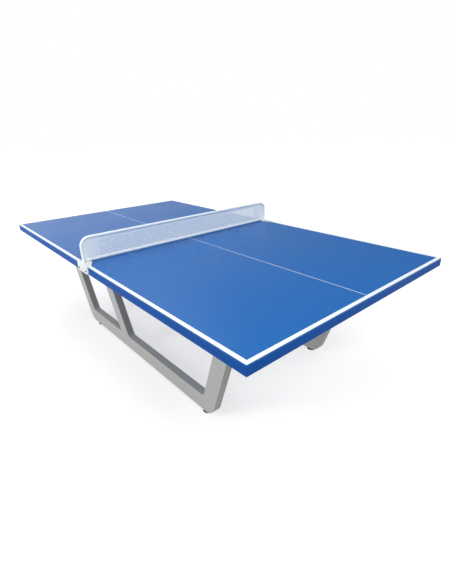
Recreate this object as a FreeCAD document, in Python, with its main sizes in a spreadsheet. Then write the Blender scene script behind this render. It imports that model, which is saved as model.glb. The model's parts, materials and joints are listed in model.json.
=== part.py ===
import FreeCAD, Part
import math
import os
import Sketcher

# A fixed outdoor ping pong table, in millimetres. +X points to the near end, +Y to the right-hand
# side and +Z up. The origin is on the floor under the middle of the net.
# The top is two framed panels bolted together under the net. It stands on two welded side frames,
# each a bottom rail, three leaning legs and a top rail, with a levelling foot at each end.

SIZES = {
    # top
    "table_length": 2740,
    "table_width": 1525,
    "surface_height": 760,
    "panel_thickness": 7,
    "panel_corner": 4,
    "panel_joint": 1,
    "apron_height": 41,
    "apron_flange": 25,
    "apron_wall": 2,
    "bearer_flange": 40,
    "bearer_wall": 2.5,
    "bearer_end_inset": 34,
    "near_bearer_x": 330,
    # side frames
    "frame_half_width": 495,
    "member_depth": 48,
    "member_width": 98,
    "member_wall": 3,
    "floor_clearance": 13,
    "rear_slope": 0.51,
    "front_slope": 0.33,
    "rear_leg_x": -828,
    "middle_leg_x": -230,
    "front_leg_x": 852,
    "outer_corner": 80,
    "inner_corner": 30,
    "sharp_corner": 8,
    "top_rail_height": 50,
    "vent_radius": 10,
    "cap_thickness": 2,
    "cap_plug": 15,
    "cap_clearance": 0.2,
    "cross_tube_width": 50,
    "cross_tube_inset": 190,
    # levelling feet
    "rear_foot_inset": 124,
    "front_foot_inset": 68,
    "foot_radius": 27,
    "foot_cap_radius": 25.5,
    "sole_thickness": 4,
    "cap_height": 2.7,
    "stud_radius": 6,
    "stud_length": 70,
    "insert_radius": 11,
    "insert_length": 26,
    "lock_nut_height": 6,
    "lock_nut_flats": 19,
    "thread_clearance": 0.05,
    # fasteners
    "bolt_radius": 5,
    "bolt_flats": 17,
    "bolt_head": 6.4,
    "nut_height": 8,
    "thread_tail": 2,
    "hole_clearance": 0.5,
    "joint_bolt_spread": 500,
    "screw_radius": 3,
    "screw_head_radius": 5.5,
    "screw_head": 3,
    "screw_socket_flats": 4,
    "screw_nut_height": 5,
    "screw_nut_flats": 10,
    # net
    "net_height": 152.5,
    "net_end_inset": 4.5,
    "rim_radius": 9,
    "rim_wall": 1.5,
    "rim_corner": 60,
    "net_sheet": 2,
    "net_seat_gap": 0.3,
    "net_rail_radius": 8,
    "bracket_plate": 3,
    "bracket_offset": 20,
    "bracket_half_width": 70,
    "bracket_tongue_half": 26,
    "bracket_reach": 51,
    "bracket_shoulder": 18,
    "bracket_standoff": 9,
    "bracket_corner": 12,
    "bracket_bend": 3,
    "bracket_screw_spread": 47,
    "bracket_screw_drop": 29,
}

doc = FreeCAD.newDocument("PingPongTable")
sheet = doc.addObject("Spreadsheet::Sheet", "Sizes")
for row, (alias, size) in enumerate(SIZES.items(), start=1):
    sheet.set(f"A{row}", alias)
    sheet.set(f"B{row}", str(size))
    sheet.setAlias(f"B{row}", alias)
doc.recompute()


class Size(str):
    """An expression on the sheet that can be added to and scaled like a number."""

    def __add__(self, other):
        return Size(f"({self} + {other})")

    def __radd__(self, other):
        return Size(f"({other} + {self})")

    def __sub__(self, other):
        return Size(f"({self} - {other})")

    def __rsub__(self, other):
        return Size(f"({other} - {self})")

    def __mul__(self, other):
        return Size(f"({self} * {other})")

    def __rmul__(self, other):
        return Size(f"({other} * {self})")

    def __truediv__(self, other):
        return Size(f"({self} / {other})")

    def __neg__(self):
        return Size(f"(0 - {self})")


def size(alias):
    return Size(f"Sizes.{alias}")


def root(expression):
    return Size(f"sqrt({expression})")


def number(expression):
    """The value that an expression has now."""
    return float(sheet.evalExpression(str(expression)))


def vector(*expressions):
    return FreeCAD.Vector(*[number(e) for e in expressions])


# ---------------------------------------------------------------- levels and lines of the frame

OVERRUN = 1  # how far a cut runs past the face that it opens

surface = size("surface_height")
panel_bottom = surface - size("panel_thickness")
apron_bottom = panel_bottom - size("apron_height")
half_length = size("table_length") / 2
half_width = size("table_width") / 2

rail_bottom = size("floor_clearance")
rail_top = rail_bottom + size("member_width")
top_rail_bottom = apron_bottom - size("top_rail_height")
frame_mid = size("frame_half_width") - size("member_depth") / 2

rear_root = root(1 + size("rear_slope") * size("rear_slope"))
front_root = root(1 + size("front_slope") * size("front_slope"))
rear_span = size("member_width") * rear_root
front_span = size("member_width") * front_root


def rear_line(height):
    """The rear leg's outer edge, which leans back towards the far end as it rises."""
    return size("rear_leg_x") - size("rear_slope") * (height - rail_top)


def front_line(height):
    """The front leg's outer edge, which leans out towards the near end as it rises."""
    return size("front_leg_x") + size("front_slope") * (height - rail_top)


def middle_line(height):
    return size("middle_leg_x") - size("rear_slope") * (height - rail_top)


top_rail_rear = rear_line(top_rail_bottom)
top_rail_front = front_line(top_rail_bottom)
bearers = {
    "far_outer_bearer": top_rail_rear + size("bearer_end_inset"),
    "far_inner_bearer": middle_line(top_rail_bottom) + size("bearer_end_inset"),
    "near_inner_bearer": size("near_bearer_x"),
    "near_outer_bearer": top_rail_front - size("bearer_end_inset") - size("bearer_flange"),
}
bearer_bolt_x = {name: place + size("bearer_flange") / 2 for name, place in bearers.items()}
foot_x = {
    "rear": rear_line(rail_bottom) + size("rear_foot_inset"),
    "front": front_line(rail_bottom) - size("front_foot_inset"),
}
SIDES = {"left": -1, "right": 1}


# ---------------------------------------------------------------- how a body is made


def place(body, x=0, y=0, z=0, turn=0):
    """Puts a body's own origin at x, y, z, turned about +Z by turn degrees."""
    turned = FreeCAD.Rotation(FreeCAD.Vector(0, 0, 1), turn)
    body.Placement = FreeCAD.Placement(FreeCAD.Vector(0, 0, 0), turned)
    for axis, expression in (("x", x), ("y", y), ("z", z)):
        body.setExpression(f"Placement.Base.{axis}", str(expression))


def new_body(label):
    body = doc.addObject("PartDesign::Body", label)
    body.Label = label
    return body


def new_sketch(body, role, offset=None):
    """A sketch on one of the body's own origin planes, offset along the plane's normal."""
    sketch = body.newObject("Sketcher::SketchObject", f"{body.Label}_sketch")
    plane = [f for f in body.Origin.OriginFeatures if f.Role == role][0]
    sketch.AttachmentSupport = [(plane, "")]
    sketch.MapMode = "FlatFace"
    if offset is not None:
        sketch.setExpression("AttachmentOffset.Base.z", str(offset))
    return sketch


def pin(sketch, geometry, end, spot):
    """Ties one end of a piece of geometry to a pair of expressions."""
    for kind, expression in zip(("DistanceX", "DistanceY"), spot):
        tie = Sketcher.Constraint(kind, -1, 1, geometry, end, number(expression))
        sketch.setExpression(f"Constraints[{sketch.addConstraint(tie)}]", str(expression))


def outline(sketch, corners):
    """A closed outline. A corner is (across, up), or (across, up, radius) where an arc of that
    radius runs from the corner to the next one, bulging to the right of the way it is drawn if
    the radius is positive and to the left if it is negative."""
    first = sketch.GeometryCount
    spots = [vector(c[0], c[1], "0") for c in corners]
    for i, corner in enumerate(corners):
        start, end = spots[i], spots[(i + 1) % len(spots)]
        if len(corner) == 2:
            sketch.addGeometry(Part.LineSegment(start, end), False)
            continue
        radius = number(corner[2])
        chord = end - start
        right = FreeCAD.Vector(chord.y, -chord.x, 0).normalize()
        height = math.sqrt(radius**2 - (chord.Length / 2) ** 2)
        bulge = math.copysign(abs(radius) - height, radius)
        middle = (start + end) * 0.5 + right * bulge
        sketch.addGeometry(Part.Arc(start, middle, end), False)
    for i, corner in enumerate(corners):
        here, after = first + i, first + (i + 1) % len(corners)
        ends = [arc_ends(sketch, here, spots[i]), arc_ends(sketch, after, spots[(i + 1) % len(corners)])]
        sketch.addConstraint(Sketcher.Constraint("Coincident", here, ends[0][1], after, ends[1][0]))
    for i, corner in enumerate(corners):
        here = first + i
        pin(sketch, here, arc_ends(sketch, here, spots[i])[0], corner[:2])
        if len(corner) == 3:
            tie = Sketcher.Constraint("Radius", here, abs(number(corner[2])))
            sketch.setExpression(f"Constraints[{sketch.addConstraint(tie)}]", f"abs({corner[2]})")


def arc_ends(sketch, geometry, start):
    """The numbers of a piece's first and last end, as it is drawn. A clockwise arc has them
    swapped, because a sketch keeps every arc anticlockwise."""
    first = sketch.getPoint(geometry, 1)
    return (1, 2) if first.distanceToPoint(start) < 1e-6 else (2, 1)


def circle(sketch, across, up, radius):
    place_now = vector(across, up, "0")
    ring = sketch.addGeometry(Part.Circle(place_now, FreeCAD.Vector(0, 0, 1), number(radius)), False)
    tie = sketch.addConstraint(Sketcher.Constraint("Radius", ring, number(radius)))
    sketch.setExpression(f"Constraints[{tie}]", str(radius))
    pin(sketch, ring, 3, (across, up))


def pad(body, sketch, length, both_ways=False):
    feature = body.newObject("PartDesign::Pad", f"{body.Label}_pad")
    feature.Profile = sketch
    feature.setExpression("Length", str(length))
    feature.Midplane = both_ways
    doc.recompute()
    return feature


def pocket(body, sketch, length=None):
    """Cuts the sketch's outline out, equally far each way, or right through if length is None."""
    before = body.Shape.Volume
    feature = body.newObject("PartDesign::Pocket", f"{body.Label}_pocket")
    feature.Profile = sketch
    feature.Midplane = True
    if length is None:
        feature.Type = "ThroughAll"
    else:
        feature.setExpression("Length", str(length))
    doc.recompute()
    if not body.Shape.Volume < before:
        raise RuntimeError(f"a pocket in {body.Label} cuts nothing")
    return feature


def revolve(body, sketch):
    feature = body.newObject("PartDesign::Revolution", f"{body.Label}_revolution")
    feature.Profile = sketch
    feature.ReferenceAxis = (sketch, ["V_Axis"])
    feature.Angle = 360
    doc.recompute()
    return feature


def round_edges(body, wanted, radius):
    """Rounds the edges of the body that wanted() picks by their middle and direction."""
    base = body.Tip
    names = []
    for i, edge in enumerate(base.Shape.Edges, start=1):
        if isinstance(edge.Curve, Part.Line) and wanted(edge.CenterOfMass, edge.Curve.Direction):
            names.append(f"Edge{i}")
    feature = body.newObject("PartDesign::Fillet", f"{body.Label}_fillet")
    feature.Base = (base, names)
    feature.setExpression("Radius", str(radius))
    doc.recompute()
    return feature


def rectangle(low, high):
    """The four corners of a rectangle between two opposite ones."""
    return [low, (high[0], low[1]), high, (low[0], high[1])]


def group(label, piece, spots):
    """Copies of one fastener, each a separate solid, in one node."""
    copies = []
    for spot, turn in spots:
        copy = piece.copy()
        copy.Placement = FreeCAD.Placement(spot, turn)
        copies.append(copy)
    feature = doc.addObject("Part::Feature", label)
    feature.Label = label
    feature.Shape = Part.Compound(copies)
    return feature


UPRIGHT = FreeCAD.Rotation()
HALF_TURN = FreeCAD.Rotation(FreeCAD.Vector(0, 0, 1), 180)
TOWARDS_LEFT = FreeCAD.Rotation(FreeCAD.Vector(1, 0, 0), 90)
TOWARDS_RIGHT = FreeCAD.Rotation(FreeCAD.Vector(1, 0, 0), -90)
TOWARDS_NEAR = FreeCAD.Rotation(FreeCAD.Vector(0, 1, 0), 90)
parts = []


# ---------------------------------------------------------------- top


def panel(label, turn):
    """One half of the playing surface, with rounded corners at the table's end."""
    body = new_body(label)
    face = new_sketch(body, "XY_Plane")
    joint = size("panel_joint") / 2
    corner = size("panel_corner")
    outline(
        face,
        [
            (joint, -half_width),
            (half_length - corner, -half_width, corner),
            (half_length, corner - half_width),
            (half_length, half_width - corner, corner),
            (half_length - corner, half_width),
            (joint, half_width),
        ],
    )
    pad(body, face, size("panel_thickness"))
    place(body, 0, 0, panel_bottom, turn)
    parts.append(body)


panel("near_playing_panel", 0)
panel("far_playing_panel", 180)


def channel_corners(flange, wall, height):
    """A C section, its web on the axis and its flanges reaching across."""
    return [
        ("0", "0"),
        (flange, "0"),
        (flange, wall),
        (wall, wall),
        (wall, height - wall),
        (flange, height - wall),
        (flange, height),
        ("0", height),
    ]


def apron_rail(label, length, x, y, turn, holes=()):
    """A channel along its own +X with its web outside, mitred at both ends. Each hole through the
    web is a place along it, a height and a radius."""
    body = new_body(label)
    profile = new_sketch(body, "YZ_Plane")
    flange = size("apron_flange")
    outline(profile, channel_corners(flange, size("apron_wall"), size("apron_height")))
    pad(body, profile, length)
    mitres = new_sketch(body, "XY_Plane")
    past = flange + OVERRUN
    outline(mitres, [(f"-{OVERRUN}", f"-{OVERRUN}"), (past, past), (f"-{OVERRUN}", past)])
    outline(
        mitres,
        [(length + OVERRUN, f"-{OVERRUN}"), (length + OVERRUN, past), (length - past, past)],
    )
    pocket(body, mitres)
    if holes:
        drilled = new_sketch(body, "XZ_Plane")
        for along, height, radius in holes:
            circle(drilled, along, height, radius)
        pocket(body, drilled)
    place(body, x, y, apron_bottom, turn)
    parts.append(body)


bracket_screw_z = surface - size("bracket_screw_drop")
screw_hole = size("screw_radius") + size("hole_clearance")
bolt_hole = size("bolt_radius") + size("hole_clearance")
joint_y = [-size("joint_bolt_spread"), size("joint_bolt_spread") * 0, size("joint_bolt_spread")]
joint_z = apron_bottom + size("apron_height") / 2


near_screw_x = size("bracket_offset") + size("bracket_screw_spread")
far_screw_x = size("bracket_offset") - size("bracket_screw_spread")
joint_holes = [(half_width + y, joint_z - apron_bottom, bolt_hole) for y in joint_y]
width = size("table_width")

for label, x, y, turn, along in (
    ("near_left_apron_rail", 0, -half_width, 0, near_screw_x),
    ("far_left_apron_rail", -half_length, -half_width, 0, half_length + far_screw_x),
    ("near_right_apron_rail", half_length, half_width, 180, half_length - near_screw_x),
    ("far_right_apron_rail", 0, half_width, 180, -far_screw_x),
):
    hole = (along, bracket_screw_z - apron_bottom, screw_hole)
    apron_rail(label, half_length, x, y, turn, [hole])
apron_rail("near_centre_rail", width, 0, half_width, -90, joint_holes)
apron_rail("far_centre_rail", width, 0, -half_width, 90, joint_holes)
apron_rail("near_end_rail", width, half_length, -half_width, 90)
apron_rail("far_end_rail", width, -half_length, half_width, -90)


def bearer(label, x):
    """A channel across the underside between the side rails' flanges, open towards +X."""
    body = new_body(label)
    profile = new_sketch(body, "XZ_Plane")
    corners = channel_corners(size("bearer_flange"), size("bearer_wall"), size("apron_height"))
    outline(profile, corners)
    pad(body, profile, size("table_width") - size("apron_flange") * 2, both_ways=True)
    drilled = new_sketch(body, "XY_Plane")
    for side in SIDES.values():
        circle(drilled, size("bearer_flange") / 2, frame_mid * side, bolt_hole)
    pocket(body, drilled, size("bearer_wall") * 2 + OVERRUN)
    place(body, x, 0, apron_bottom)
    parts.append(body)


for bearer_name, bearer_x in bearers.items():
    bearer(bearer_name, bearer_x)


# ---------------------------------------------------------------- side frames


def bottom_rail(side, sign):
    """A hollow rail whose ends carry on the slope of the outer legs and round into the base."""
    body = new_body(f"{side}_bottom_rail")
    faces = new_sketch(body, "XZ_Plane")
    outline(faces, rail_corners("0", size("outer_corner")))
    pad(body, faces, size("member_depth"), both_ways=True)
    inside = new_sketch(body, "XZ_Plane")
    wall = size("member_wall")
    outline(inside, rail_corners(wall, size("outer_corner") - wall))
    pocket(body, inside, size("member_depth") - wall * 2)
    vents = new_sketch(body, "XY_Plane", rail_top)
    for leg_x in (
        rear_line(rail_top) + rear_span / 2,
        middle_line(rail_top) + rear_span / 2,
        front_line(rail_top) - front_span / 2,
    ):
        circle(vents, leg_x, "0", size("vent_radius"))
    pocket(body, vents, wall * 2 + OVERRUN)
    bushes = new_sketch(body, "XY_Plane", rail_bottom)
    for x in foot_x.values():
        circle(bushes, x, "0", size("insert_radius") + size("thread_clearance"))
    pocket(body, bushes, wall * 2 + OVERRUN)
    place(body, 0, frame_mid * sign, 0)
    parts.append(body)


def rail_corners(inset, radius):
    """The bottom rail's face, inset by a wall, with an arc of that radius at each lower corner."""
    low = rail_bottom + inset
    high = rail_top - inset
    rear_reach = radius * (rear_root - size("rear_slope"))
    front_reach = radius * (front_root - size("front_slope"))
    rear_low = rear_line(low) + inset * rear_root
    front_low = front_line(low) - inset * front_root
    return [
        (rear_low + rear_reach, low),
        (front_low - front_reach, low, radius),
        (
            front_low + size("front_slope") * front_reach / front_root,
            low + front_reach / front_root,
        ),
        (front_line(high) - inset * front_root, high),
        (rear_line(high) + inset * rear_root, high),
        (
            rear_low - size("rear_slope") * rear_reach / rear_root,
            low + rear_reach / rear_root,
            radius,
        ),
    ]


def leg(label, sign, foot, slope, steep, rear_flare=None, front_flare=None):
    """A hollow leaning leg from the bottom rail to the top rail. foot is the X of its rear edge on
    the rail, slope its run towards +X as it rises, and steep the root of one plus slope squared.
    A flare is the radius of the arc that its foot makes with the rail on that side."""
    body = new_body(label)
    faces = new_sketch(body, "XZ_Plane")
    rise = top_rail_bottom - rail_top
    width = size("member_width") * steep
    corners = []
    if rear_flare is None:
        corners += [(foot, rail_top)]
    else:
        reach = rear_flare * (steep - slope)
        up = reach / steep
        corners += [(foot + slope * up, rail_top + up, -rear_flare), (foot - reach, rail_top)]
    if front_flare is None:
        corners += [(foot + width, rail_top)]
    else:
        reach = front_flare * (steep + slope)
        up = reach / steep
        corners += [(foot + width + reach, rail_top, -front_flare)]
        corners += [(foot + width + slope * up, rail_top + up)]
    corners += [(foot + width + slope * rise, top_rail_bottom), (foot + slope * rise, top_rail_bottom)]
    outline(faces, corners)
    pad(body, faces, size("member_depth"), both_ways=True)
    inside = new_sketch(body, "XZ_Plane")
    wall = size("member_wall") * steep
    low = foot - slope * OVERRUN
    high = foot + slope * (rise + OVERRUN)
    outline(
        inside,
        [
            (low + wall, rail_top - OVERRUN),
            (low + width - wall, rail_top - OVERRUN),
            (high + width - wall, top_rail_bottom + OVERRUN),
            (high + wall, top_rail_bottom + OVERRUN),
        ],
    )
    pocket(body, inside, size("member_depth") - size("member_wall") * 2)
    place(body, 0, frame_mid * sign, 0)
    parts.append(body)


def top_rail(side, sign):
    """A tube along the top of the legs, which the bearers are bolted to."""
    body = new_body(f"{side}_top_rail")
    profile = new_sketch(body, "YZ_Plane")
    half_depth = size("member_depth") / 2
    height = size("top_rail_height")
    wall = size("member_wall")
    outline(profile, rectangle((-half_depth, "0"), (half_depth, height)))
    outline(profile, rectangle((wall - half_depth, wall), (half_depth - wall, height - wall)))
    pad(body, profile, top_rail_front - top_rail_rear)
    drilled = new_sketch(body, "XY_Plane")
    for bolt_x in bearer_bolt_x.values():
        circle(drilled, bolt_x - top_rail_rear, "0", bolt_hole)
    pocket(body, drilled)
    place(body, top_rail_rear, frame_mid * sign, top_rail_bottom)
    parts.append(body)


for side, sign in SIDES.items():
    bottom_rail(side, sign)
    leg(
        f"{side}_rear_leg",
        sign,
        rear_line(rail_top),
        -size("rear_slope"),
        rear_root,
        front_flare=size("inner_corner"),
    )
    leg(
        f"{side}_middle_leg",
        sign,
        middle_line(rail_top),
        -size("rear_slope"),
        rear_root,
        rear_flare=size("sharp_corner"),
        front_flare=size("inner_corner"),
    )
    leg(
        f"{side}_front_leg",
        sign,
        front_line(rail_top) - front_span,
        size("front_slope"),
        front_root,
        rear_flare=size("inner_corner"),
    )
    top_rail(side, sign)


def cross_tube(label, x):
    """A tube between the two top rails."""
    body = new_body(label)
    profile = new_sketch(body, "XZ_Plane")
    half_tube = size("cross_tube_width") / 2
    height = size("top_rail_height")
    wall = size("member_wall")
    outline(profile, rectangle((-half_tube, "0"), (half_tube, height)))
    outline(profile, rectangle((wall - half_tube, wall), (half_tube - wall, height - wall)))
    pad(body, profile, (size("frame_half_width") - size("member_depth")) * 2, both_ways=True)
    place(body, x, 0, top_rail_bottom)
    parts.append(body)


cross_tube("far_cross_tube", top_rail_rear + size("cross_tube_inset"))
cross_tube("near_cross_tube", top_rail_front - size("cross_tube_inset"))


def end_cap():
    """A plastic cap for a top rail's end, facing +X: its face on the tube's end, its plug inside."""
    depth = number(size("member_depth"))
    height = number(size("top_rail_height"))
    gap = number(size("member_wall") + size("cap_clearance"))
    reach = number(size("cap_plug"))
    face = Part.makeBox(number(size("cap_thickness")), depth, height)
    face.translate(FreeCAD.Vector(0, -depth / 2, 0))
    plug = Part.makeBox(reach, depth - gap * 2, height - gap * 2)
    plug.translate(FreeCAD.Vector(-reach, gap - depth / 2, gap))
    return face.fuse(plug)


cap_spots = []
for sign in SIDES.values():
    cap_spots.append((vector(top_rail_front, frame_mid * sign, top_rail_bottom), UPRIGHT))
    cap_spots.append((vector(top_rail_rear, frame_mid * sign, top_rail_bottom), HALF_TURN))
parts.append(group("top_rail_end_caps", end_cap(), cap_spots))


# ---------------------------------------------------------------- bolts, nuts and screws


def hexagon(flats, height):
    """A hexagonal prism on the XY plane."""
    reach = flats / math.sqrt(3)
    points = [
        FreeCAD.Vector(reach * math.cos(math.radians(60 * i)), reach * math.sin(math.radians(60 * i)), 0)
        for i in range(6)
    ]
    face = Part.Face(Part.makePolygon(points + points[:1]))
    return face.extrude(FreeCAD.Vector(0, 0, height))


def bolt(length):
    """A hexagon-headed bolt along +Z, its head below the XY plane."""
    head_height = number(size("bolt_head"))
    head = hexagon(number(size("bolt_flats")), head_height)
    head.translate(FreeCAD.Vector(0, 0, -head_height))
    return head.fuse(Part.makeCylinder(number(size("bolt_radius")), number(length)))


def nut(flats, height, radius):
    """A hexagon nut above the XY plane, clear of its thread by the thread clearance."""
    bore = Part.makeCylinder(number(radius + size("thread_clearance")), number(height))
    return hexagon(number(flats), number(height)).cut(bore)


bearer_grip = size("top_rail_height") + size("bearer_wall")
bearer_bolt = bolt(bearer_grip + size("nut_height") + size("thread_tail"))
bearer_nut = nut(size("bolt_flats"), size("nut_height"), size("bolt_radius"))
bolt_places = [(x, frame_mid * sign) for x in bearer_bolt_x.values() for sign in SIDES.values()]
parts.append(
    group("bearer_bolts", bearer_bolt, [(vector(x, y, top_rail_bottom), UPRIGHT) for x, y in bolt_places])
)
bearer_nut_z = apron_bottom + size("bearer_wall")
parts.append(
    group("bearer_nuts", bearer_nut, [(vector(x, y, bearer_nut_z), UPRIGHT) for x, y in bolt_places])
)

joint_bolt = bolt(size("apron_wall") * 2 + size("nut_height") + size("thread_tail"))
parts.append(
    group(
        "joint_bolts",
        joint_bolt,
        [(vector(-size("apron_wall"), y, joint_z), TOWARDS_NEAR) for y in joint_y],
    )
)
parts.append(
    group(
        "joint_nuts", bearer_nut, [(vector(size("apron_wall"), y, joint_z), TOWARDS_NEAR) for y in joint_y]
    )
)


# ---------------------------------------------------------------- levelling feet

foot_inserts = []
lock_nuts = []
for side, sign in SIDES.items():
    for end, x in foot_x.items():
        foot_inserts.append((vector(x, frame_mid * sign, rail_bottom), UPRIGHT))
        nut_z = rail_bottom - size("lock_nut_height")
        lock_nuts.append((vector(x, frame_mid * sign, nut_z), UPRIGHT))
insert_bore = Part.makeCylinder(
    number(size("stud_radius") + size("thread_clearance")), number(size("insert_length"))
)
insert_shell = Part.makeCylinder(number(size("insert_radius")), number(size("insert_length")))
parts.append(group("foot_inserts", insert_shell.cut(insert_bore), foot_inserts))
parts.append(
    group(
        "lock_nuts",
        nut(size("lock_nut_flats"), size("lock_nut_height"), size("stud_radius")),
        lock_nuts,
    )
)


def turned_piece(label, corners, x, y):
    """A round piece about a foot's own axis, from half of its section."""
    body = new_body(label)
    section = new_sketch(body, "XZ_Plane")
    outline(section, corners)
    revolve(body, section)
    place(body, x, y, 0)
    parts.append(body)


def foot(name, x, y):
    """A levelling foot: a moulded sole, a dished steel cap on it, and a stud that stands in it."""
    sole = size("sole_thickness")
    rim = size("foot_cap_radius")
    cap = size("cap_height")
    stud = size("stud_radius")
    stud_seat = sole + size("member_wall") / 2
    turned_piece(f"{name}_foot_sole", rectangle(("0", "0"), (size("foot_radius"), sole)), x, y)
    turned_piece(
        f"{name}_foot_cap",
        [
            ("0", sole),
            (rim, sole),
            (rim, sole + cap / 3),
            (rim - cap * 3, sole + cap),
            (stud + size("thread_clearance"), sole + cap),
            (stud + size("thread_clearance"), stud_seat),
            ("0", stud_seat),
        ],
        x,
        y,
    )
    turned_piece(
        f"{name}_foot_stud",
        rectangle(("0", stud_seat), (stud, stud_seat + size("stud_length"))),
        x,
        y,
    )


for side, sign in SIDES.items():
    for end, x in foot_x.items():
        foot(f"{side}_{end}", x, frame_mid * sign)


# ---------------------------------------------------------------- net

rim_line = half_width - size("net_end_inset") - size("rim_radius")
rim_crown = surface + size("net_height") - size("rim_radius")
rim_bend = size("rim_corner") - size("rim_radius")
net_floor = surface + size("bracket_plate")


def net_rim():
    """One bent tube: up from the left bracket, along the top of the net, down to the right one."""
    body = new_body("net_rim")
    path = new_sketch(body, "YZ_Plane")
    stops = [
        (-rim_line, net_floor),
        (-rim_line, rim_crown - rim_bend),
        (rim_bend - rim_line, rim_crown),
        (rim_line - rim_bend, rim_crown),
        (rim_line, rim_crown - rim_bend),
        (rim_line, net_floor),
    ]
    spots = [vector(a, b, "0") for a, b in stops]
    middles = {
        1: vector(rim_bend * (1 - math.sqrt(0.5)) - rim_line, rim_crown - rim_bend * (1 - math.sqrt(0.5)), "0"),
        3: vector(rim_line - rim_bend * (1 - math.sqrt(0.5)), rim_crown - rim_bend * (1 - math.sqrt(0.5)), "0"),
    }
    for i in range(len(stops) - 1):
        if i in middles:
            path.addGeometry(Part.Arc(spots[i], middles[i], spots[i + 1]), False)
        else:
            path.addGeometry(Part.LineSegment(spots[i], spots[i + 1]), False)
    ends = [arc_ends(path, i, spots[i]) for i in range(len(stops) - 1)]
    for i in range(len(stops) - 2):
        path.addConstraint(Sketcher.Constraint("Coincident", i, ends[i][1], i + 1, ends[i + 1][0]))
    for i in range(len(stops) - 1):
        pin(path, i, ends[i][0], stops[i])
    pin(path, len(stops) - 2, ends[-1][1], stops[-1])
    for i in middles:
        tie = path.addConstraint(Sketcher.Constraint("Radius", i, number(rim_bend)))
        path.setExpression(f"Constraints[{tie}]", str(rim_bend))
    section = new_sketch(body, "XY_Plane", net_floor)
    circle(section, "0", -rim_line, size("rim_radius"))
    circle(section, "0", -rim_line, size("rim_radius") - size("rim_wall"))
    doc.recompute()
    tube = body.newObject("PartDesign::AdditivePipe", "net_rim_pipe")
    tube.Profile = section
    tube.Spine = (path, [f"Edge{i + 1}" for i in range(len(stops) - 1)])
    doc.recompute()
    parts.append(body)


net_rim()

net_end = rim_line - size("rim_radius") - size("net_seat_gap")
net_rail_axis = net_floor + size("net_rail_radius")


def net_rail():
    """The tube along the foot of the net, which rests on both brackets."""
    body = new_body("net_bottom_rail")
    profile = new_sketch(body, "XZ_Plane")
    circle(profile, "0", net_rail_axis, size("net_rail_radius"))
    circle(profile, "0", net_rail_axis, size("net_rail_radius") - size("rim_wall"))
    pad(body, profile, net_end * 2, both_ways=True)
    parts.append(body)


def net_sheet():
    """The net's flat sheet, inside the rim and on the bottom rail."""
    body = new_body("net_sheet")
    face = new_sketch(body, "YZ_Plane")
    foot = net_rail_axis + size("net_rail_radius") + size("net_seat_gap")
    top = rim_crown - size("rim_radius") - size("net_seat_gap")
    corner = rim_bend - size("rim_radius") - size("net_seat_gap")
    outline(
        face,
        [
            (-net_end, foot),
            (net_end, foot),
            (net_end, top - corner, corner),
            (net_end - corner, top),
            (corner - net_end, top, corner),
            (-net_end, top - corner),
        ],
    )
    pad(body, face, size("net_sheet"), both_ways=True)
    parts.append(body)


net_rail()
net_sheet()


def bracket(side, sign):
    """The folded cover at one end of the net: a tongue on the playing surface and a tray screwed
    to the two side rails. The tray sits further towards the near end than the net does."""
    body = new_body(f"{side}_net_bracket")
    plate = size("bracket_plate")
    far_end = size("bracket_offset") - size("bracket_half_width")
    near_end = size("bracket_offset") + size("bracket_half_width")
    edge = half_width * sign
    face = (half_width + size("bracket_standoff")) * sign
    drop = surface - apron_bottom
    tray = new_sketch(body, "XY_Plane", apron_bottom)
    outline(tray, rectangle((far_end, face), (near_end, edge)))
    pad(body, tray, drop)
    tongue = new_sketch(body, "XY_Plane", surface)
    inner = (half_width - size("bracket_reach")) * sign
    shoulder = (half_width - size("bracket_shoulder")) * sign
    narrow = size("bracket_tongue_half")
    outline(
        tongue,
        [
            (far_end, face),
            (near_end, face),
            (near_end, shoulder),
            (narrow, inner),
            (-narrow, inner),
            (far_end, shoulder),
        ],
    )
    pad(body, tongue, plate)
    round_edges(
        body,
        lambda middle, way: abs(way.y) > 0.9 and middle.z < number(apron_bottom) + OVERRUN,
        size("bracket_corner"),
    )
    round_edges(
        body,
        lambda middle, way: (
            abs(middle.y - number(face)) < OVERRUN
            and (middle.z > number(surface) or abs(way.z) > 0.9)
        ),
        size("bracket_bend"),
    )
    hollow = new_sketch(body, "XY_Plane", apron_bottom)
    outline(
        hollow,
        rectangle((far_end + plate, face - plate * sign), (near_end - plate, edge - OVERRUN * sign)),
    )
    pocket(body, hollow, drop * 2)
    drilled = new_sketch(body, "XZ_Plane")
    for screw_x in (far_screw_x, near_screw_x):
        circle(drilled, screw_x, bracket_screw_z, screw_hole)
    pocket(body, drilled)
    parts.append(body)


for side, sign in SIDES.items():
    bracket(side, sign)


def screw():
    """A button-headed socket screw along +Z, its head below the XY plane."""
    height = number(size("screw_head"))
    wide = number(size("screw_head_radius"))
    reach = size("bracket_standoff") + size("apron_wall") + size("screw_nut_height") + size("thread_tail")
    head = Part.makeCone(wide - height / 2, wide, height)
    head.translate(FreeCAD.Vector(0, 0, -height))
    socket = hexagon(number(size("screw_socket_flats")), height / 2)
    socket.translate(FreeCAD.Vector(0, 0, -height))
    return head.fuse(Part.makeCylinder(number(size("screw_radius")), number(reach))).cut(socket)


screw_spots = []
screw_nut_spots = []
for sign, inward in ((-1, TOWARDS_RIGHT), (1, TOWARDS_LEFT)):
    for x in (far_screw_x, near_screw_x):
        outside = (half_width + size("bracket_standoff")) * sign
        inside = (half_width - size("apron_wall")) * sign
        screw_spots.append((vector(x, outside, bracket_screw_z), inward))
        screw_nut_spots.append((vector(x, inside, bracket_screw_z), inward))
parts.append(group("bracket_screws", screw(), screw_spots))
screw_nut = nut(size("screw_nut_flats"), size("screw_nut_height"), size("screw_radius"))
parts.append(group("bracket_nuts", screw_nut, screw_nut_spots))


# ---------------------------------------------------------------- checks and export

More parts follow.
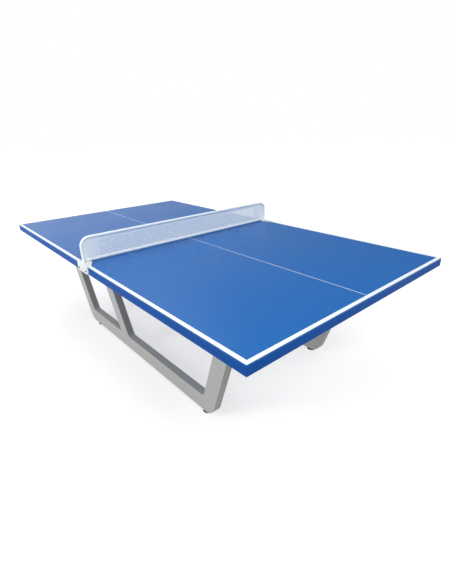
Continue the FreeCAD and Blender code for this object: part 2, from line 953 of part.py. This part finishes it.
doc.recompute()
for item in doc.Objects:
    if "Invalid" in item.State or "Error" in item.State:
        raise RuntimeError(f"{item.Label} failed: {item.State}")
for part in parts:
    if part.Shape.isNull() or not part.Shape.isValid():
        raise RuntimeError(f"{part.Label} has no valid shape")

os.makedirs("parts", exist_ok=True)
for part in parts:
    part.Shape.exportStep(os.path.join("parts", f"{part.Label}.step"))
print(f"{len(parts)} nodes")
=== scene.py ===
import json
import math

import bmesh
import bpy
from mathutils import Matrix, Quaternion, Vector
from mathutils.geometry import delaunay_2d_cdt


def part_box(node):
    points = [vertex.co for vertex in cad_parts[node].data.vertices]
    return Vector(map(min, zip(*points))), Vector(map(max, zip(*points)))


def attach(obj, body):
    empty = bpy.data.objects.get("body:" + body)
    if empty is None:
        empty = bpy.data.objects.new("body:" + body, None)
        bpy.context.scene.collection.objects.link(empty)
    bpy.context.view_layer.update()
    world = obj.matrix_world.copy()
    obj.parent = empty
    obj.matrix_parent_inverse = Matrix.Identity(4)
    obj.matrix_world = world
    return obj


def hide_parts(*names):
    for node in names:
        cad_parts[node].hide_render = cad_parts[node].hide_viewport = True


# The looks of a fixed outdoor ping pong table, in metres, in the CAD model's frame: +X points to
# the near end, +Y to the right-hand side and +Z up, with the origin on the floor under the net.

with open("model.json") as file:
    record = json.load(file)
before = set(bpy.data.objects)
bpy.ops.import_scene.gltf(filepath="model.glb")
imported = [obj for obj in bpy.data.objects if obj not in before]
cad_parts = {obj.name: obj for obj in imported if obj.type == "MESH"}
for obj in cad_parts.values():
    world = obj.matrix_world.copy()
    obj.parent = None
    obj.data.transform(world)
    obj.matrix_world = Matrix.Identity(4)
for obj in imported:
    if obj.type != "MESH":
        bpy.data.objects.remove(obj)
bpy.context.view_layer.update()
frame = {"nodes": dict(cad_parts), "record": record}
nodes = frame["nodes"]
scene = bpy.context.scene
TABLE = "table"


# ---------------------------------------------------------------- camera

CAMERA_PLACE = Vector((2.082, -1.447, 1.453))
CAMERA_HEADING = math.radians(49.6)  # from +Y towards -X
CAMERA_TILT = math.radians(23.84)  # below the horizon
CAMERA_ROLL = math.radians(-1.43)
CAMERA_LENS = 22.8  # millimetres, on a sensor 36 mm along the image's longer side


def add_camera():
    data = bpy.data.cameras.new("camera")
    data.lens = CAMERA_LENS
    data.sensor_width = 36
    data.clip_end = 200
    camera = bpy.data.objects.new("camera", data)
    camera.location = CAMERA_PLACE
    camera.rotation_mode = "QUATERNION"
    camera.rotation_quaternion = (
        Quaternion((0, 0, 1), CAMERA_HEADING)
        @ Quaternion((1, 0, 0), math.pi / 2 - CAMERA_TILT)
        @ Quaternion((0, 0, 1), CAMERA_ROLL)
    )
    scene.collection.objects.link(camera)
    scene.camera = camera


# ---------------------------------------------------------------- materials


class Nodes:
    """A material's or a world's node tree, with short ways to add to it."""

    def __init__(self, owner):
        owner.use_nodes = True
        self.tree = owner.node_tree
        self.tree.nodes.clear()

    def add(self, kind, **values):
        """Adds a node. A value named after an input socket, with _ for a space, sets or links it,
        and any other sets the node's own property."""
        node = self.tree.nodes.new(kind)
        for key, value in values.items():
            socket = node.inputs.get(key.replace("_", " "))
            if socket is None:
                setattr(node, key, value)
            elif isinstance(value, bpy.types.NodeSocket):
                self.tree.links.new(value, socket)
            else:
                socket.default_value = value
        return node

    def noise(self, scale, detail=3.0, stretch=(1, 1, 1)):
        """Noise over the object's own coordinates, which are metres in the row frame."""
        place = self.add("ShaderNodeTexCoord").outputs["Object"]
        mapped = self.add("ShaderNodeMapping", Vector=place, Scale=stretch)
        return self.add(
            "ShaderNodeTexNoise", Vector=mapped.outputs[0], Scale=scale, Detail=detail
        ).outputs["Fac"]

    def between(self, factor, low, high):
        """A number from low to high as the factor goes from 0.3 to 0.7, as noise does."""
        return self.add(
            "ShaderNodeMapRange", Value=factor, From_Min=0.3, From_Max=0.7, To_Min=low, To_Max=high
        ).outputs[0]

    def blend(self, factor, first, second):
        node = self.add("ShaderNodeMix", data_type="RGBA")
        self.tree.links.new(factor, node.inputs[0])
        for socket, colour in ((node.inputs[6], first), (node.inputs[7], second)):
            if isinstance(colour, bpy.types.NodeSocket):
                self.tree.links.new(colour, socket)
            else:
                socket.default_value = (*colour, 1)
        return node.outputs[2]

    def finish(self, shader, kind="Material"):
        out = self.add(f"ShaderNodeOutput{kind}")
        self.tree.links.new(shader.outputs[0], out.inputs["Surface"])


def shade(colour, by):
    return tuple(min(1.0, channel * by) for channel in colour)


def coated(name, colour, roughness, grain, depth, mottle=0.05, specular=0.5):
    """A painted or moulded surface: cloudy mottling over tens of centimetres, a fine grain whose
    size is grain and whose bump is depth high, and a roughness that wanders with the clouds."""
    material = bpy.data.materials.new(name)
    tree = Nodes(material)
    clouds = tree.noise(4.0, 5.0)
    specks = tree.noise(1 / grain, 2.0)
    base = tree.blend(clouds, shade(colour, 1 - mottle), shade(colour, 1 + mottle))
    flecked = tree.blend(tree.between(specks, 0, mottle * 2), base, shade(colour, 1.3))
    bump = tree.add("ShaderNodeBump", Height=specks, Strength=0.4, Distance=depth)
    shader = tree.add(
        "ShaderNodeBsdfPrincipled",
        Base_Color=flecked,
        Roughness=tree.between(clouds, roughness * 0.88, roughness * 1.12),
        Normal=bump.outputs[0],
        Specular_IOR_Level=specular,
    )
    tree.finish(shader)
    return material


def brushed(name, colour, roughness, stretch):
    """Bare metal with fine lines, long across the directions that stretch makes large."""
    material = bpy.data.materials.new(name)
    tree = Nodes(material)
    lines = tree.noise(60.0, 4.0, stretch)
    stains = tree.noise(30.0, 3.0)
    base = tree.blend(stains, shade(colour, 0.85), shade(colour, 1.1))
    bump = tree.add("ShaderNodeBump", Height=lines, Strength=0.3, Distance=0.00005)
    shader = tree.add(
        "ShaderNodeBsdfPrincipled",
        Base_Color=base,
        Roughness=tree.between(lines, roughness * 0.7, roughness * 1.3),
        Normal=bump.outputs[0],
        Metallic=1.0,
    )
    tree.finish(shader)
    return material


surface_blue = coated(
    "surface_blue", (0.012, 0.127, 0.425), 0.28, 0.0012, 0.00001, mottle=0.02, specular=0.12
)
apron_blue = coated("apron_blue", (0.008, 0.080, 0.345), 0.50, 0.0015, 0.00003, specular=0.05)
line_white = coated("line_white", (0.82, 0.90, 0.95), 0.42, 0.0010, 0.00002, mottle=0.02)
net_white = coated("net_white", (0.84, 0.92, 0.97), 0.35, 0.0013, 0.00003, mottle=0.02)
bracket_white = coated("bracket_white", (0.74, 0.78, 0.78), 0.38, 0.0013, 0.00003, mottle=0.03)
frame_grey = coated("frame_grey", (0.49, 0.495, 0.48), 0.50, 0.0012, 0.00006, specular=0.3)
black_plastic = coated("black_plastic", (0.014, 0.014, 0.015), 0.55, 0.0015, 0.0001, mottle=0.1)
plated = brushed("plated", (0.60, 0.60, 0.60), 0.22, (1, 1, 20))
zinc = brushed("zinc", (0.52, 0.53, 0.55), 0.38, (4, 4, 1))
dark_steel = brushed("dark_steel", (0.035, 0.045, 0.042), 0.45, (1, 20, 1))

FINISHES = {
    "playing_surface": surface_blue,
    "blue_steel": apron_blue,
    "white_steel": net_white,
    "grey_steel": frame_grey,
    "dark_screws": dark_steel,
    "plated_foot": plated,
    "zinc": zinc,
    "black_plastic": black_plastic,
}


def finish_nodes():
    """Every CAD node takes the finish of its material slot, except the net brackets, which take
    bracket_white.
    """
    for subpart in frame["record"]["subparts"]:
        name = subpart["node"]
        finish = FINISHES[subpart["material_slot"]]
        if name.endswith("net_bracket"):
            finish = bracket_white
        nodes[name].data.materials.clear()
        nodes[name].data.materials.append(finish)


FOOT_EDGE = 0.0004
SHARP_ANGLE = math.radians(40)


def ease_edges(names, width):
    """Rounds the sharp edges of CAD nodes by that width."""
    for name in names:
        bevel = nodes[name].modifiers.new("eased", "BEVEL")
        bevel.width = width
        bevel.segments = 2
        bevel.limit_method = "ANGLE"
        bevel.angle_limit = SHARP_ANGLE
        bevel.harden_normals = True


# ---------------------------------------------------------------- pieces


def add_piece(name, mesh, material, body=TABLE):
    piece = bpy.data.objects.new(name, mesh)
    scene.collection.objects.link(piece)
    mesh.materials.append(material)
    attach(piece, body)
    return piece


def slab(name, outline, low, high, material):
    """A flat piece with that outline, between two heights."""
    mesh = bpy.data.meshes.new(name)
    form = bmesh.new()
    face = form.faces.new([form.verts.new((x, y, low)) for x, y in outline])
    grown = bmesh.ops.extrude_face_region(form, geom=[face])["geom"]
    top = [v for v in grown if isinstance(v, bmesh.types.BMVert)]
    bmesh.ops.translate(form, verts=top, vec=(0, 0, high - low))
    bmesh.ops.recalc_face_normals(form, faces=form.faces)
    form.to_mesh(mesh)
    form.free()
    return add_piece(name, mesh, material)


LINE_WIDTH = 0.020
CENTRE_LINE_WIDTH = 0.003
PAINT = 0.0002
PANEL_CORNER = 0.004


def corner_arc(x, y, quarter, radius, steps=5):
    """Points round a corner whose arc's centre is x, y, from quarter times 90 degrees."""
    turns = [(quarter + i / steps) * math.pi / 2 for i in range(steps + 1)]
    return [(x + radius * math.cos(t), y + radius * math.sin(t)) for t in turns]


def paint_lines(end):
    """The white lines of one half: round its three outer edges, and along its middle. They are
    drawn for the near half and turned half round for the far one."""
    low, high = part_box(f"{end}_playing_panel")
    turn = 1 if end == "near" else -1
    joint = min(abs(low.x), abs(high.x))
    reach = max(abs(low.x), abs(high.x))
    side = high.y
    centre = (reach - PANEL_CORNER, side - PANEL_CORNER)
    inner = (reach - LINE_WIDTH, side - LINE_WIDTH)
    border = (
        [(joint, -side)]
        + corner_arc(centre[0], -centre[1], 3, PANEL_CORNER)
        + corner_arc(centre[0], centre[1], 0, PANEL_CORNER)
        + [(joint, side), (joint, inner[1]), inner, (inner[0], -inner[1]), (joint, -inner[1])]
    )
    half = CENTRE_LINE_WIDTH / 2
    middle = [(joint, -half), (inner[0], -half), (inner[0], half), (joint, half)]
    for name, outline in (("border_line", border), ("centre_line", middle)):
        turned = [(x * turn, y * turn) for x, y in outline]
        slab(f"{end}_{name}", turned, high.z, high.z + PAINT, line_white)


HOLE_PITCH = 0.0105
HOLE_RADIUS = 0.0026
HOLE_SIDES = 8
MERGE_DISTANCE = 1e-7
INSIDE_LOOPS = 2  # the kind of triangulation that fills the outline and leaves the holes open
NET_END_MARGIN = 0.098
NET_EDGE_MARGIN = 0.012
NET_CORNER = 0.0417  # the rim's bend, less the tube's radius and the seat gap
NET_SHEET = 0.002


def net_outline(low, high, corner):
    """The net sheet's outline in its own plane, across and up, with its top corners rounded."""
    return (
        [(low.y, low.z), (high.y, low.z)]
        + corner_arc(high.y - corner, high.z - corner, 0, corner, 10)
        + corner_arc(low.y + corner, high.z - corner, 1, corner, 10)
    )


def punched_net():
    """The net's sheet with its rows of round holes, each row half a pitch along from the last."""
    low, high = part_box("net_sheet")
    points = [Vector(p) for p in net_outline(low, high, NET_CORNER)]
    loops = [list(range(len(points)))]
    row_height = HOLE_PITCH * math.sqrt(3) / 2
    first = low.z + NET_EDGE_MARGIN
    rows = int((high.z - low.z - NET_EDGE_MARGIN * 2) / row_height) + 1
    span = high.y - NET_END_MARGIN
    count = int(span * 2 / HOLE_PITCH)
    for row in range(rows):
        up = first + row * row_height
        shift = HOLE_PITCH / 2 * (row % 2)
        for i in range(count):
            across = -span + shift + i * HOLE_PITCH
            ring = []
            for k in range(HOLE_SIDES):
                turn = -2 * math.pi * k / HOLE_SIDES
                ring.append(len(points))
                points.append(
                    Vector((across + HOLE_RADIUS * math.cos(turn), up + HOLE_RADIUS * math.sin(turn)))
                )
            loops.append(ring)
    verts, _, faces = delaunay_2d_cdt(points, [], loops, INSIDE_LOOPS, MERGE_DISTANCE)[:3]
    mesh = bpy.data.meshes.new("punched_net")
    mesh.from_pydata([(0, p.x, p.y) for p in verts], [], faces)
    return mesh


def add_net():
    piece = add_piece("punched_net", punched_net(), net_white)
    solid = piece.modifiers.new("sheet", "SOLIDIFY")
    solid.thickness = NET_SHEET
    solid.offset = 0
    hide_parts("net_sheet")


# ---------------------------------------------------------------- room


FLOOR_REACH = 40
FLOOR_NEAR = 1.8
FLOOR_FAR = 4.5
GLOW_NEAR = 0.66
GLOW_FAR = 1.0


def add_floor():
    """A pale floor that shows white where nothing shades it, and keeps the table's shadow."""
    mesh = bpy.data.meshes.new("floor")
    reach = FLOOR_REACH
    mesh.from_pydata(
        [(-reach, -reach, 0), (reach, -reach, 0), (reach, reach, 0), (-reach, reach, 0)],
        [],
        [(0, 1, 2, 3)],
    )
    floor = bpy.data.objects.new("floor", mesh)
    scene.collection.objects.link(floor)
    material = bpy.data.materials.new("floor")
    tree = Nodes(material)
    grain = tree.noise(8.0, 3.0)
    diffuse = tree.add(
        "ShaderNodeBsdfDiffuse", Color=tree.blend(grain, (0.44, 0.44, 0.44), (0.46, 0.46, 0.46))
    )
    place = tree.add("ShaderNodeTexCoord").outputs["Object"]
    away = tree.add("ShaderNodeVectorMath", operation="LENGTH")
    tree.tree.links.new(place, away.inputs[0])
    fade = tree.add(
        "ShaderNodeMapRange",
        Value=away.outputs["Value"],
        From_Min=FLOOR_NEAR,
        From_Max=FLOOR_FAR,
        To_Min=GLOW_NEAR,
        To_Max=GLOW_FAR,
    )
    glow = tree.add("ShaderNodeEmission", Strength=seen(tree, fade.outputs[0], 0.0))
    both = tree.add("ShaderNodeAddShader")
    tree.tree.links.new(diffuse.outputs[0], both.inputs[0])
    tree.tree.links.new(glow.outputs[0], both.inputs[1])
    tree.finish(both)
    mesh.materials.append(material)


def seen(tree, shown, lit):
    """One number for rays that show a surface, straight, in gloss or through glass, and another
    for rays that light it."""
    path = tree.add("ShaderNodeLightPath")
    direct = tree.add("ShaderNodeMath", operation="MAXIMUM")
    tree.tree.links.new(path.outputs["Is Camera Ray"], direct.inputs[0])
    tree.tree.links.new(path.outputs["Is Glossy Ray"], direct.inputs[1])
    any_way = tree.add("ShaderNodeMath", operation="MAXIMUM")
    tree.tree.links.new(direct.outputs[0], any_way.inputs[0])
    tree.tree.links.new(path.outputs["Is Transmission Ray"], any_way.inputs[1])
    picked = tree.add("ShaderNodeMapRange", Value=any_way.outputs[0], To_Min=lit, To_Max=shown)
    return picked.outputs[0]


SKY_HORIZON = 0.2
SKY_OVERHEAD = 0.65
SHEEN_FROM_LEFT = 1.25
SHEEN_FROM_RIGHT = 0.1


def add_world():
    """White wherever it shows. As a light it is bright overhead and dim near the horizon, and in
    gloss it is white on the left and grey on the right, as a room with one open side is."""
    world = bpy.data.worlds.new("studio")
    scene.world = world
    tree = Nodes(world)
    way = tree.add("ShaderNodeTexCoord").outputs["Generated"]
    axes = tree.add("ShaderNodeSeparateXYZ", Vector=way).outputs
    lit = tree.add("ShaderNodeMapRange", Value=axes["Z"], To_Min=SKY_HORIZON, To_Max=SKY_OVERHEAD)
    sheen = tree.add(
        "ShaderNodeMapRange", Value=axes["Y"], To_Min=SHEEN_FROM_LEFT, To_Max=SHEEN_FROM_RIGHT
    )
    path = tree.add("ShaderNodeLightPath").outputs
    strength = lit.outputs[0]
    shown = (
        ("Is Glossy Ray", sheen.outputs[0]),
        ("Is Transmission Ray", 1.0),
        ("Is Camera Ray", 1.0),
    )
    for ray, value in shown:
        strength = tree.add(
            "ShaderNodeMapRange", Value=path[ray], To_Min=strength, To_Max=value
        ).outputs[0]
    tree.finish(tree.add("ShaderNodeBackground", Color=(1, 1, 1, 1), Strength=strength), "World")


def add_lamp(name, place, aim, size, power):
    data = bpy.data.lights.new(name, "AREA")
    data.shape = "DISK"
    data.size = size
    data.energy = power
    lamp = bpy.data.objects.new(name, data)
    lamp.location = place
    lamp.rotation_mode = "QUATERNION"
    lamp.rotation_quaternion = (Vector(aim) - Vector(place)).to_track_quat("-Z", "Y")
    scene.collection.objects.link(lamp)


def add_lamps():
    add_lamp("key", (-0.8, -5.0, 2.4), (0, 0, 0.4), 2.5, 135)
    add_lamp("end", (4.6, -1.0, 4.6), (0, 0, 0.7), 2.5, 165)
    add_lamp("far", (-2.6, 0.8, 4.2), (-0.8, 0, 0.7), 3.0, 48)


# ---------------------------------------------------------------- the scene

add_camera()
add_floor()
add_world()
add_lamps()
finish_nodes()
ease_edges([n for n in nodes if n.endswith(("_foot_cap", "_foot_sole"))], FOOT_EDGE)
for end in ("near", "far"):
    paint_lines(end)
add_net()

scene.view_settings.view_transform = "Standard"
